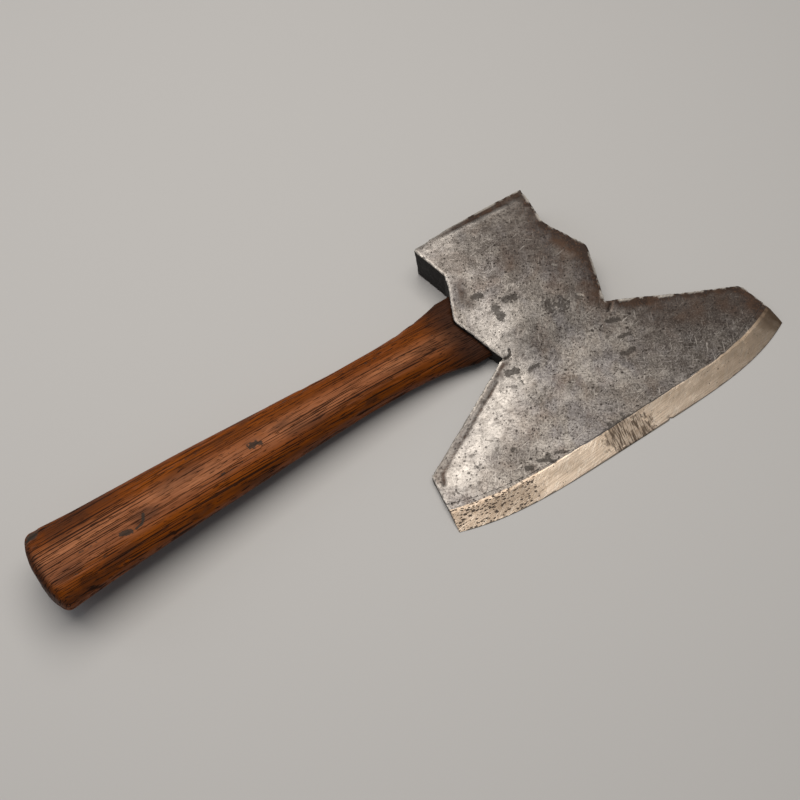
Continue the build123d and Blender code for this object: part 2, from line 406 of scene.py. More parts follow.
@dataclass(frozen=True)
class Pattern:
    """Marks made from noise: how large they are, which way they run and how much they cover."""

    size: Triple  # of one mark
    level: float  # the noise above this shows; higher means fewer marks
    soft: float = 0.06  # half the width of a mark's fade, in the noise's own units
    detail: float = 2.0
    turn: float = 0.0  # degrees about Z
    warp: float = 0.0

    def mask(self, nodes: Nodes) -> Socket:
        """Adds the pattern to a material.

        Args:
            nodes: the material.

        Returns:
            The mask's socket, from 0 to 1.
        """
        turn = (0, 0, math.radians(self.turn))
        inputs = {"Vector": nodes.coords, "Rotation": turn, "Scale": Vector(self.size) * MM}
        placed = nodes.add("Mapping", inputs, vector_type="TEXTURE")
        cloud = nodes.add(
            "TexNoise",
            {"Vector": placed.outputs[0], "Scale": 1.0, "Detail": self.detail, "Distortion": self.warp},
        )
        reach = nodes.add(
            "MapRange",
            {0: cloud.outputs[0], 1: self.level - self.soft, 2: self.level + self.soft},
            interpolation_type="SMOOTHSTEP",
        )
        return reach.outputs[0]


@dataclass(frozen=True)
class Dots:
    """Separate round marks, such as corrosion pits: how far apart they are and how large."""

    size: Triple  # of the cell that may hold one
    radius: float  # of a dot, as a share of its cell
    share: float  # of the cells that hold one
    turn: float = 0.0  # degrees about Z
    bend: float = 1.6  # the size of the wobble in their outlines

    def mask(self, nodes: Nodes) -> Socket:
        """Adds the dots to a material.

        Args:
            nodes: the material.

        Returns:
            The mask's socket, from 0 to 1.
        """
        stray = nodes.add("TexNoise", {"Vector": nodes.coords, "Scale": 1 / (self.bend * MM), "Detail": 2.0})
        shift = {0: stray.outputs["Color"], 1: (MM,) * 3, 2: nodes.coords}
        bent = nodes.add("VectorMath", shift, operation="MULTIPLY_ADD").outputs[0]
        turn = (0, 0, math.radians(self.turn))
        inputs = {"Vector": bent, "Rotation": turn, "Scale": Vector(self.size) * MM}
        placed = nodes.add("Mapping", inputs, vector_type="TEXTURE")
        cells = nodes.add("TexVoronoi", {"Vector": placed.outputs[0], "Scale": 1.0})
        pick = nodes.add("SeparateColor", {0: cells.outputs["Color"]})
        sizes = {0: pick.outputs[0], 1: self.radius, 2: self.radius * 0.5}
        grown = nodes.add("Math", sizes, operation="MULTIPLY_ADD")
        inner = nodes.combine("MULTIPLY", grown.outputs[0], 0.6)
        reach = nodes.add(
            "MapRange",
            {0: cells.outputs["Distance"], 1: grown.outputs[0], 2: inner},
            interpolation_type="SMOOTHSTEP",
        )
        kept = nodes.add("Math", {0: pick.outputs[1], 1: self.share}, operation="LESS_THAN").outputs[0]
        return nodes.combine("MULTIPLY", reach.outputs[0], kept)


@dataclass
class Look:
    """The sockets of one finish, ready for the shader. Heights are in millimetres."""

    colour: Any
    metallic: Any
    roughness: Any
    height: Any

    def over(self, nodes: Nodes, mask: Socket, below: "Look") -> "Look":
        """Lays this look over another.

        Args:
            nodes: the material.
            mask: where this look shows.
            below: the look underneath.

        Returns:
            The two looks as one.
        """
        colour = nodes.add("Mix", {0: mask, 6: below.colour, 7: self.colour}, data_type="RGBA").outputs[2]
        pairs = (
            (below.metallic, self.metallic),
            (below.roughness, self.roughness),
            (below.height, self.height),
        )
        numbers = [nodes.levels(low, (mask, high)) for low, high in pairs]
        return Look(colour, *numbers)

    def shade(self, nodes: Nodes, bump: float, **sockets: Any) -> bpy.types.Material:
        """Ends the material with its shader.

        Args:
            nodes: the material.
            bump: how strongly the heights show.
            sockets: other shader inputs, with underscores for spaces.

        Returns:
            The finished material.
        """
        relief = nodes.add("Bump", {"Strength": bump, "Distance": MM, "Height": self.height})
        inputs = {
            "Base Color": self.colour,
            "Metallic": self.metallic,
            "Roughness": self.roughness,
            "Normal": relief.outputs[0],
        }
        inputs.update({name.replace("_", " "): value for name, value in sockets.items()})
        shader = nodes.add("BsdfPrincipled", inputs)
        nodes.add("OutputMaterial", {"Surface": shader.outputs[0]})
        return nodes.material


@dataclass(frozen=True)
class ForgedPatina:
    """Wrought iron, hammer-forged, worn bright on its highs and brown-black in its pits.

    It gives the eye a soft grey metal, cloudy over centimetres and densely speckled below two millimetres,
    with fine scratches in all directions and brown oxide where hands never rub. Its pale rubbed zones and
    rims also carry a painted highlight, and its dark zones, downward faces and side walls carry painted
    shade.
    """

    name: str = "forged_wrought_iron"
    body: str = "#aaa299"
    pale: str = "#cec7bf"
    dull: str = "#5f5853"
    cool: str = "#7f7d82"
    deep: str = "#352e2a"
    rust: str = "#2e2018"
    rust_light: str = "#6b4d37"
    soot: str = "#3d3630"
    bare: str = "#f0e8dc"
    scale_and_shade: str = "#16120f"

    def look(self, nodes: Nodes) -> Look:
        """Adds the patina to a material.

        Args:
            nodes: the material.

        Returns:
            The patina's sockets.
        """
        wall, wear_and_highlight, shade, rim = map(nodes.read, (Mask.WALL, Mask.WEAR_AND_HIGHLIGHT, Mask.SHADE_AND_DARK_PATINA, Mask.RIM))
        stain = nodes.ragged(Mask.STAIN, 2.2, 6.0)
        cloud = Pattern((36, 25, 30), 0.5, 0.14, 4.0, warp=0.6, turn=-25).mask(nodes)
        haze = Pattern((20, 12, 14), 0.54, 0.14, 3.0, warp=0.5, turn=-30).mask(nodes)
        cool = Pattern((26, 18, 22), 0.53, 0.1, 4.0, warp=0.4, turn=65).mask(nodes)
        browned = Pattern((24, 17, 20), 0.56, 0.1, 4.0, warp=0.5, turn=40).mask(nodes)
        mottle = Pattern((8.5, 6.5, 7), 0.55, 0.09, 4.0, warp=0.4).mask(nodes)
        blotch = Pattern((5.2, 4.2, 5), 0.63, 0.04, 4.0, warp=0.6, turn=-20).mask(nodes)
        # Real pits are 0.3 to 2 mm across; the finest are drawn at 1.1 mm, the least that shows.
        grain = Pattern((1.9, 1.6, 1.8), 0.52, 0.12, 4.0).mask(nodes)
        freckles = Pattern((1.4, 1.1, 1.3), 0.6, 0.04, 2.0, turn=30).mask(nodes)
        flecks = Pattern((1.5, 1.2, 1.4), 0.59, 0.05, 2.0, turn=70).mask(nodes)
        pits = nodes.combine(
            "MAXIMUM",
            Dots((2.6, 1.9, 2.2), 0.29, 0.3, turn=25).mask(nodes),
            Dots((6.5, 5.0, 5.5), 0.17, 0.3, turn=-15).mask(nodes),
        )
        # Scratches and nicks are as fine as a hair; they are drawn 0.8 to 1 mm wide so that they show.
        scratches = [
            Pattern((length, 0.8, 3), level, 0.025, 1.0, turn=turn).mask(nodes)
            for length, level, turn in ((13, 0.70, 58), (10, 0.71, -34), (17, 0.72, 12))
        ]
        scratched = nodes.combine("MAXIMUM", *scratches)
        nicks = nodes.combine(
            "MAXIMUM",
            Pattern((5.5, 1.0, 3), 0.66, 0.03, 2.0, turn=-38, warp=0.8).mask(nodes),
            Pattern((4.5, 0.9, 3), 0.68, 0.03, 2.0, turn=35, warp=0.8).mask(nodes),
        )
        painted, uneven = nodes.read(Mask.RUST), nodes.levels(0.75, (mottle, 1.0), (haze, 1.15))
        rust = nodes.combine("MULTIPLY", painted, uneven)
        rust_light = nodes.levels(0.1, (browned, 0.5), (flecks, 0.6))
        # Darker patina, partly painted shade.
        dull = nodes.combine("MULTIPLY", shade, nodes.levels(0.6, (mottle, 0.95)))
        # A pale coat where the metal is rubbed, which is also a painted highlight.
        bright = nodes.combine("MULTIPLY", wear_and_highlight, nodes.levels(0.9, (mottle, 0.6)))
        # The marks are fainter where the metal is rubbed bright and under the painted highlight.
        calm = nodes.levels(1.0, (wear_and_highlight, 0.62))
        calmed = [nodes.combine("MULTIPLY", mark, calm) for mark in (mottle, grain, freckles, nicks, pits)]
        mottled, grained, freckled, nicked, pitted = calmed
        colour = nodes.coats(
            self.body,
            (cloud, 0.6, self.dull),
            (haze, 0.35, self.pale),
            (cool, 0.45, self.cool),
            (browned, 0.3, self.rust_light),
            (bright, 1.0, self.pale),
            (dull, 1.0, self.dull),
            (mottled, 0.26, self.dull),
            (grained, 0.3, self.deep),
            (freckled, 0.58, self.deep),
            (nicked, 0.55, self.deep),
            (flecks, 0.2, self.pale),
            (scratched, 0.4, self.pale),
            (rust, 1.0, self.rust),
            (rust, rust_light, self.rust_light),
            (blotch, 0.5, self.soot),
            (pitted, 0.72, self.deep),
            (stain, nodes.levels(0.8, (grain, 0.6)), self.soot),
            # Side walls dark: scale and painted shade.
            (wall, 1.0, self.scale_and_shade),
            # Bright rims: bare metal and a painted highlight.
            (rim, 0.85, self.bare),
        )
        metallic = nodes.levels(0.92, (rust, 0.35), (stain, 0.6), (wall, 0.2), (rim, 0.5))
        worn = nodes.levels(0.45, (grain, 0.52), (bright, 0.4), (rust, 0.62), (stain, 0.58))
        roughness = nodes.levels(worn, (pits, 0.65), (wall, 0.78), (rim, 0.42))
        fine = nodes.levels(0.0, (mottle, -0.06), (grain, -0.1), (nicks, -0.16), (scratched, -0.14))
        height = nodes.levels(fine, (pits, -0.28), (blotch, -0.16), (stain, -0.2))
        return Look(colour, metallic, roughness, height)

    def build(self) -> bpy.types.Material:
        """Makes the material."""
        nodes = Nodes(self.name)
        return self.look(nodes).shade(nodes, bump=0.34)


@dataclass(frozen=True)
class GroundBevel:
    """Tool steel, stone-ground along the bevel and yellowed since.

    It gives the eye a bright warm band with fine strokes, a wavering line where it meets the patina, and
    black corrosion pits towards the heel.
    """

    name: str = "ground_tool_steel"
    reach: float = 17.2  # from the cutting edge back to the line where the grinding stops
    wander: float = 2.4  # how much that line wavers
    body: str = "#f4dfc8"
    pale: str = "#fff3e2"
    dull: str = "#b39c83"
    tarnish: str = "#6e5b49"
    pit: str = "#43372d"
    smear: str = "#6a5b4d"

    def look(self, nodes: Nodes) -> Look:
        """Adds the ground face to a material.

        Args:
            nodes: the material.

        Returns:
            The ground face's sockets.
        """
        stain, pits = (nodes.ragged(mask, 3.2, 4.0) for mask in (Mask.STAIN, Mask.PITTED))
        rust, shade, pitted = map(nodes.read, (Mask.RUST, Mask.SHADE_AND_DARK_PATINA, Mask.PITTED))
        # A grinding stroke is about 0.2 mm wide; it is drawn at 0.5 mm so that it shows.
        grinding = Pattern((26, 0.55, 3), 0.52, 0.12, 2.0, turn=4).mask(nodes)
        cross = Pattern((9, 0.5, 3), 0.6, 0.06, 1.0, turn=32).mask(nodes)
        streaks = Pattern((1.2, 9, 3), 0.5, 0.1, 3.0, turn=-12).mask(nodes)
        cloud = Pattern((22, 9, 20), 0.54, 0.12, 3.0).mask(nodes)
        corrosion = Dots((3.0, 1.15, 2.0), 0.44, 0.9, turn=-8).mask(nodes)
        specks = Pattern((1.4, 1.1, 1.4), 0.7, 0.02, 2.0).mask(nodes)
        holes = nodes.combine("MAXIMUM", nodes.combine("MULTIPLY", corrosion, pits), specks)
        smeared = nodes.combine("MULTIPLY", stain, nodes.levels(0.35, (streaks, 1.0)))
        colour = nodes.coats(
            self.body,
            (cloud, 0.4, self.dull),
            (grinding, 0.5, self.dull),
            (cross, 0.5, self.pale),
            # Painted shade on the bevel, from the same mask as the darker patina.
            (shade, 0.55, self.dull),
            (pitted, 0.5, self.tarnish),
            (rust, 1.0, self.tarnish),
            (smeared, 1.0, self.smear),
            (holes, 0.9, self.pit),
        )
        metallic = nodes.levels(0.95, (smeared, 0.7), (rust, 0.7), (holes, 0.3))
        roughness = nodes.levels(0.4, (grinding, 0.46), (cross, 0.34), (smeared, 0.55), (holes, 0.75))
        height = nodes.levels(0.0, (grinding, -0.05), (cross, -0.06), (holes, -0.35))
        return Look(colour, metallic, roughness, height)

    def build(self, patina: ForgedPatina) -> bpy.types.Material:
        """Makes the material, with the patina behind the ground face.

        Args:
            patina: the finish of the forged faces.

        Returns:
            The finished material.
        """
        nodes = Nodes(self.name)
        cloud = nodes.add("TexNoise", {"Vector": nodes.coords, "Scale": 1 / (9 * MM), "Detail": 3.0})
        limit = {0: cloud.outputs[0], 1: self.wander, 2: self.reach - self.wander / 2}
        edge = nodes.add("Math", limit, operation="MULTIPLY_ADD").outputs[0]
        inside = nodes.add("Math", {0: edge, 1: nodes.read(Mask.SETBACK)}, operation="SUBTRACT").outputs[0]
        ground = nodes.add("MapRange", {0: inside, 1: -0.25, 2: 0.25}, interpolation_type="SMOOTHSTEP")
        facing = nodes.combine("SUBTRACT", ground.outputs[0], nodes.read(Mask.WALL))
        look = self.look(nodes).over(nodes, facing, patina.look(nodes))
        return look.shade(nodes, bump=0.34)


@dataclass(frozen=True)
class OiledHickory:
    """Ring-porous hardwood, spokeshaved, oiled and darkened by a century of hands.

    It gives the eye red-brown wood with long black open pores along the grain, orange where the oil is
    thick on the sides and a pale pinkish painted highlight along the top.
    """

    name: str = "oiled_hickory"
    body: str = "#823f0b"
    warm: str = "#8c4600"
    crown: str = "#b8754a"
    dark: str = "#4a2208"
    pore: str = "#180c07"
    dirt_and_shade: str = "#2a1b14"
    soot: str = "#33302a"

    def look(self, nodes: Nodes) -> Look:
        """Adds the wood to a material.

        Args:
            nodes: the material.

        Returns:
            The wood's sockets.
        """
        grime_and_shade, crown = map(nodes.read, (Mask.GRIME_AND_SHADE, Mask.CROWN_HIGHLIGHT))
        stain = nodes.ragged(Mask.STAIN, 2.4, 3.0)
        bands = Pattern((190, 6, 9), 0.52, 0.14, 3.0, warp=0.2).mask(nodes)
        cloud = Pattern((70, 14, 14), 0.52, 0.12, 3.0).mask(nodes)
        fibre = Pattern((60, 0.9, 1.4), 0.52, 0.14, 2.0).mask(nodes)
        # Open pores are 0.3 mm wide and run for centimetres; they are drawn 0.6 to 0.9 mm wide to show.
        pores = Pattern((46, 0.7, 2.2), 0.655, 0.022, 0.6).mask(nodes)
        ticks = Pattern((9, 0.6, 1.4), 0.64, 0.03, 1.0).mask(nodes)
        cracks = Pattern((150, 0.9, 3.2), 0.66, 0.02, 0.5).mask(nodes)
        # Orange outside the painted highlight, pale pink in the painted highlight along the top.
        rich = nodes.combine("SUBTRACT", 1.0, crown)
        lines = nodes.combine("MAXIMUM", pores, ticks, cracks)
        colour = nodes.coats(
            self.body,
            (rich, nodes.levels(0.55, (cloud, 1.0)), self.warm),
            (crown, nodes.levels(0.55, (cloud, 0.95)), self.crown),
            (bands, 0.34, self.dark),
            (fibre, 0.28, self.dark),
            # Dirt, and painted shade on the haft's underside.
            (grime_and_shade, 1.0, self.dirt_and_shade),
            (lines, 0.86, self.pore),
            (stain, 0.85, self.soot),
        )
        oiled = nodes.levels(0.4, (fibre, 0.46), (bands, 0.48))
        roughness = nodes.levels(oiled, (grime_and_shade, 0.6), (lines, 0.75), (stain, 0.6))
        height = nodes.levels(0.0, (fibre, -0.05), (ticks, -0.18), (pores, -0.3), (cracks, -0.45))
        return Look(colour, 0.0, roughness, height)

    def build(self) -> bpy.types.Material:
        """Makes the material."""
        nodes = Nodes(self.name, grain=True)
        # The oil has soaked in and is dull with dirt, so it shines far less than fresh varnish.
        return self.look(nodes).shade(nodes, bump=0.7, IOR=1.5, Specular_IOR_Level=0.14)


@dataclass(frozen=True)
class SawnWedge:
    """Dry hardwood, sawn and driven, its end burred by the hammer. It looks like pale dusty end grain."""

    name: str = "sawn_hardwood"
    body: str = "#7c5534"
    dark: str = "#3d2616"
    pale: str = "#a37c53"

    def build(self) -> bpy.types.Material:
        """Makes the material.

        Returns:
            The finished material.
        """
        nodes = Nodes(self.name)
        rings = Pattern((40, 1.4, 5), 0.5, 0.1, 3.0).mask(nodes)
        dots = Pattern((12, 0.8, 0.8), 0.6, 0.04, 2.0).mask(nodes)
        dust = Pattern((9, 6, 6), 0.55, 0.1, 3.0).mask(nodes)
        colour = nodes.coats(
            self.body,
            (dust, 0.5, self.pale),
            (rings, 0.6, self.dark),
            (dots, 0.8, self.dark),
        )
        roughness = nodes.levels(0.7, (dots, 0.85))
        height = nodes.levels(0.0, (rings, -0.08), (dots, -0.25))
        return Look(colour, 0.0, roughness, height).shade(nodes, bump=0.8, IOR=1.5)


@dataclass(frozen=True)
class HammeredWedge:
    """Mild steel, sheared and hammered in, then rusted. It looks brown-black with bright hammered flecks."""

    name: str = "hammered_mild_steel"
    body: str = "#4a3a30"
    rust: str = "#6a4126"
    bare: str = "#a39a90"

    def build(self) -> bpy.types.Material:
        """Makes the material.

        Returns:
            The finished material.
        """
        nodes = Nodes(self.name)
        bloom = Pattern((4, 4, 4), 0.52, 0.08, 4.0).mask(nodes)
        bright = Pattern((2.2, 2.2, 2.2), 0.6, 0.04, 3.0).mask(nodes)
        colour = nodes.coats(self.body, (bloom, 1.0, self.rust), (bright, 1.0, self.bare))
        metallic = nodes.levels(0.5, (bright, 0.95))
        roughness = nodes.levels(0.7, (bright, 0.4))
        height = nodes.levels(0.0, (bloom, -0.15), (bright, 0.1))
        return Look(colour, metallic, roughness, height).shade(nodes, bump=0.8)


@dataclass(frozen=True)
class CuttingEdge:
    """The bowed cutting edge, which the bevel and the patina's limit follow."""

    chord: float = 304.8
    toe_bow: float = 17.0  # how far the toe corner lies behind the middle of the edge
    heel_bow: float = 14.0
    power: float = 4.0

    def setback(self, points: np.ndarray) -> np.ndarray:
        """Says how far each point lies behind the edge, along y.

        Args:
            points: one row of x, y and z per point.

        Returns:
            One distance per point, less than 0 in front of the edge.
        """
        x, y = points[:, 0], points[:, 1]
        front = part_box("steel_bit")[0].y / MM
        bow = np.where(x > 0, self.toe_bow, self.heel_bow)
        return y - front - bow * np.abs(2 * x / self.chord) ** self.power


@dataclass
class Head:
    """The axe head: the forged body and the steel bit, worked as one surface."""

    edge: CuttingEdge = field(default_factory=CuttingEdge)
    body_steps: Triple = (1.25, 1.25, 1.9)  # how finely each piece is cut
    bit_steps: Triple = (1.1, 1.0, 2.0)
    hammer_depth: float = 0.3  # hammer marks on the forged face
    wall_depth: float = 0.5
    pit_depth: float = 0.045
    rim_wear: float = 0.55
    rim_reach: float = 1.5
    burr: float = 0.75  # how far the battered toe-side rims stand out
    edge_keep: float = 2.0  # the cutting edge stays true for this far back
    nick_place: float = 27.0  # where the cutting edge is nicked
    nick_depth: float = 1.3
    sharp: float = 40.0  # degrees between faces, above which an edge counts as a rim
    crack_area: tuple[tuple[float, float], ...] = ((-54, -44), (-35, -32))  # round the heel notch's crack
    crack_step: float = 0.5
    poll_line: float = 70.5  # the poll's far rim
    poll_roll: float = 1.7  # how deep the poll's far rim is hammered down, at the toe corner
    marks: tuple[Stroke, ...] = (
        # Brown oxide down the toe side of the poll and lug, and round the wings.
        *strokes(
            Mask.RUST,
            (20, 1.55, ((54, 66), (50, 32), (60, 4), (53, -30))),
            (42, 0.62, ((46, 46), (46, 5))),
            (11, 1.5, ((60, -45), (100, -62), (140, -80), (151, -94))),
            (30, 0.62, ((80, -64), (138, -92))),
            (20, 1.35, ((148, -104), (153, -122))),
            (6.5, 0.42, ((-48, -39.5), (-79, -54), (-143, -86))),
            (8, 0.62, ((-42, 26), (-46, 10))),
            (15, 0.45, ((14, 30), (2, 18))),
            (3.0, 0.8, ((-50, -41), (-62, -47.5))),
            (1.7, 1.0, ((-62, -50), (-77, -57), (-100, -68.5), (-124, -80.3), (-137, -87)), 0.4),
            (2.4, 1.0, ((-137, -87), (-141, -94)), 0.3),
            (2.0, 0.7, ((-80, -73.5),)),
        ),
        # Heel side lighter, rubbed and a painted highlight; toe side darker, dull patina and painted shade.
        *strokes(
            Mask.WEAR_AND_HIGHLIGHT,
            (30, 1.15, ((-40, -14), (-50, -44), (-80, -70), (-126, -93))),
            (26, 0.5, ((-30, 60), (-40, 40))),
            (6, 0.9, ((-44, 65), (0, 68.5), (38, 67))),
        ),
        *strokes(
            Mask.SHADE_AND_DARK_PATINA,
            (78, 1.55, ((88, -92), (135, -100))),
            (52, 1.0, ((0, 40), (38, 20))),
            (26, 0.6, ((-20, -108), (40, -118))),
            (18, 0.7, ((-98, -104), (-80, -100))),
            (15, 0.75, ((-26, -32), (-8, -44))),
            (18, 0.75, ((-34, 44), (-18, 50))),
            (14, 0.7, ((-14, 2), (6, -12))),
        ),
        # Blotches.
        *strokes(
            Mask.STAIN,
            (4.5, 1.1, ((-38, 12), (-34, 11))),
            (6.0, 0.95, ((-29, -3), (-31, -11))),
            (5.0, 0.85, ((-20, -1), (-11, -4))),
            (10, 0.75, ((8, -22), (18, -27))),
            (4.0, 1.15, ((-51, -48.5), (-43.5, -49.7))),
            (3.6, 0.7, ((-34, -53.5), (-27, -55))),
            (3.0, 0.8, ((39, -52.5), (48, -56))),
            (3.0, 0.9, ((38.5, -68), (47, -70.5))),
            (3.8, 0.9, ((31, -81), (41, -82.5))),
            (3.4, 1.1, ((-86, -117), (-83, -118.5))),
            (3.0, 1.2, ((-75, -117.5), (-70, -119.5), (-66, -117))),
            (2.6, 1.2, ((-70, -119.5), (-66, -124))),
            (2.4, 0.9, ((-61, -119), (-53, -123))),
            (6.0, 0.6, ((-85, -100),)),
            (7.0, 0.5, ((-113, -96),)),
            (7.0, 0.5, ((-137, -104),)),
            (18, 1.2, ((-15, -133), (2, -136))),
        ),
        Stroke(Mask.PITTED, 18, 1.2, ((-150, -118), (-120, -126), (-97, -129))),
        # Cracks, gouges and cuts.
        *strokes(
            Mask.STAIN,
            (1.1, 1.6, ((-52, -37), (-44, -38.8), (-41, -38), (-39.4, -34.5)), 1.3),
            (1.6, 1.0, ((51, -42.5), (46, -46.5)), 1.0),
            (1.1, 0.8, ((-44.3, -55.2), (-45.8, -61.4)), 0.3),
            (1.1, 0.7, ((8, -21), (11, -29)), 0.3),
            (1.1, 0.7, ((19, -19), (23, -29)), 0.3),
        ),
        # Bright burrs on the rims, partly painted glints, and two bright gouges in the cheek.
        *strokes(
            Mask.RIM,
            (2.5, 1.5, ((50.8, 66), (49.8, 60.5)), -0.3),
            (2.3, 1.5, ((47, 46), (46.3, 41)), -0.3),
            (1.7, 1.0, ((59, 12), (61, 7)), -0.2),
            (1.2, 0.9, ((60, -3), (54, -19))),
            (1.6, 1.2, ((49, -32), (47.4, -36)), -0.2),
            (1.5, 1.0, ((58, -44), (66, -47.3))),
            (1.5, 1.0, ((87, -56.8), (97, -61.2))),
            (1.3, 0.9, ((109, -66.5), (119, -71))),
            (1.5, 1.0, ((147, -86), (151.5, -97))),
            (1.5, 0.9, ((8, 74.4), (26, 74.4))),
            (0.8, 0.5, ((31, -24.5), (35, -27.5)), 0.6),
            (0.8, 0.45, ((29, 4), (31, 2)), 0.4),
        ),
    )

    def rims(self, skin: Skin, touching: np.ndarray) -> np.ndarray:
        """Measures how far each point is from a rim that can wear.

        Args:
            skin: the piece being worked.
            touching: which of its points lie against another piece.

        Returns:
            The distance, or a large number where no rim is near.
        """
        ends = [
            vert.index
            for edge in skin.mesh.edges
            if len(edge.link_faces) == 2 and edge.calc_face_angle(0.0) > math.radians(self.sharp)
            for vert in edge.verts
        ]
        ends = sorted({i for i in ends if not touching[i]})
        tree = KDTree(len(ends))
        for i in ends:
            tree.insert(Vector(skin.points[i]), i)
        tree.balance()
        return np.array([tree.find(Vector(p))[2] for p in skin.points])

    def tops(self, skin: Skin, trees: list[BVHTree]) -> np.ndarray:
        """Finds the height of the forged face over each point.

        Args:
            skin: the piece being worked.
            trees: the surfaces of both pieces of the head.

        Returns:
            One height per point.
        """
        above = 60 * MM
        heights = np.array(skin.points[:, 2])
        for i, (x, y, _) in enumerate(skin.points * MM):
            for tree in trees:
                hit = tree.ray_cast(Vector((x, y, above)), Vector((0, 0, -1)))[0]
                if hit is not None:
                    heights[i] = max(heights[i], hit.z / MM)
        return heights

    def wear(self, skin: Skin, neighbours: list[str]) -> None:
        """Works one piece of the head: hammer marks, pits, marks and worn rims.

        Args:
            skin: the piece.
            neighbours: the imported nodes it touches.
        """
        touching = skin.near([surface(node) for node in neighbours], 0.2)
        rim = self.rims(skin, touching)
        top = self.tops(skin, [surface("axe_body"), surface("steel_bit")])
        points, tilt = skin.points, skin.normals[:, 2]
        x, y, z = points.T
        setback = self.edge.setback(points)
        behind = ease(setback, self.edge_keep, GroundBevel.reach + 4)
        flat = np.stack([x, y, np.zeros(len(x))], axis=1)
        hammered = ripple(flat, (24, 22, 1), 1, 2) * self.hammer_depth
        pitted = -ease(ripple(flat, (4.5, 4.0, 1), 2, 3), 0.15, 0.6) * self.pit_depth * 2
        rough = ripple(flat, (2.6, 2.6, 1), 3, 2) * self.pit_depth * 0.6
        lift = (hammered + pitted + rough) * behind
        lift -= skin.draw(self.marks, wander=0.22) * np.where(setback > self.edge_keep, 1.0, 0.3)

        toe_side = ease(x, 20, 48)
        roll = 0.8 + 4.8 * ease(x, -30, 48)
        rolled = ease(y, self.poll_line - roll, self.poll_line - 0.2) * ease(z, 22, 26)
        lift -= rolled * self.poll_roll * ease(x, -50, 40)

        up = ease(tilt, 0.3, 0.6)
        wall = ease(np.abs(tilt), 0.75, 0.35)
        worn = ease(rim, self.rim_reach, 0.0) * behind
        jag = ripple(points, (3.2, 3.2, 3.2), 5, 3)
        nick = ease(ripple(points, (5.0, 5.0, 9.0), 6, 2), 0.3, 0.6)
        drop = worn * (self.rim_wear * (1.0 + 0.7 * jag) + 0.9 * nick * (0.4 + 0.6 * toe_side))
        share = np.clip(z / np.maximum(top, 0.4), 0.0, 1.0)
        rise = lift * share - drop * ease(z, 1.0, 3.0)

        outward = skin.normals * (1.0, 1.0, 0.0)
        outward /= np.maximum(np.linalg.norm(outward, axis=1, keepdims=True), 1e-6)
        side = ripple(points, (14, 14, 10), 7, 3) * self.wall_depth + jag * 0.25
        lip = worn * (0.9 * toe_side * ease(jag, -0.1, 0.5) * self.burr - 0.35 * (1 + jag))
        thin = ease(setback, 0.0, 12.0)
        shift = (side * wall + lip * ease(rim, 1.2, 0.3)) * thin
        notch = ease(np.abs(x - self.nick_place), 1.6, 0.2) * ease(setback, 4.0, 0.0) * self.nick_depth
        move = outward * shift[:, None]
        move[:, 2] = rise
        move[:, 1] += notch
        free = np.where(touching[:, None], (0.0, 0.0, 1.0), (1.0, 1.0, 1.0))
        skin.points = points + free * move

        # Bright rims: worn metal and a painted highlight, unbroken along the heel side, broken on the toe
        # side.
        battered = ease(jag, 0.0, 0.35)
        spark = np.where(x > 0, battered, 0.6 + 0.4 * battered)
        skin.paint(Mask.RIM, ease(rim, 1.9, 0.4) * spark * up * behind)
        skin.paint(Mask.RUST, rolled * 1.1 * ease(x, -42, -5))
        skin.paint(Mask.RUST, 0.7 * ease(rim, 5.0, 1.5) * toe_side * up * behind)
        # The side walls are painted dark: scale, and painted shade.
        skin.paint(Mask.WALL, wall)
        # Painted shade on the faces turned down.
        skin.paint(Mask.SHADE_AND_DARK_PATINA, 0.35 * ease(tilt, 0.0, -0.5))
        skin.masks[Mask.SETBACK] = np.where(tilt > -0.3, setback, FAR)
        for mask in (Mask.STAIN, Mask.PITTED, Mask.WEAR_AND_HIGHLIGHT):
            skin.paint(mask, np.zeros(len(points)))

    def build(self) -> list[bpy.types.Object]:
        """Makes the forged body and the bit.

        Returns:
            The two pieces.
        """
        patina = ForgedPatina()
        iron, steel = patina.build(), GroundBevel().build(patina)
        jobs = (
            ("forged_head", "axe_body", self.body_steps, ["steel_bit", "handle"], "forged_iron", iron),
            ("ground_bit", "steel_bit", self.bit_steps, ["axe_body"], "tool_steel", steel),
        )
        pieces = []
        for name, node, steps, neighbours, slot, material in jobs:
            mesh = cut_fine(node, steps)
            if node == "axe_body":
                mesh.normal_update()
                cut_finer(mesh, *self.crack_area, self.crack_step)
            skin = Skin(mesh)
            self.wear(skin, neighbours)
            piece = skin.finish(name, sharp=55)
            piece.data.materials.append(material)
            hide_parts(node)
            pieces.append(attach(piece, BODY))
        return pieces


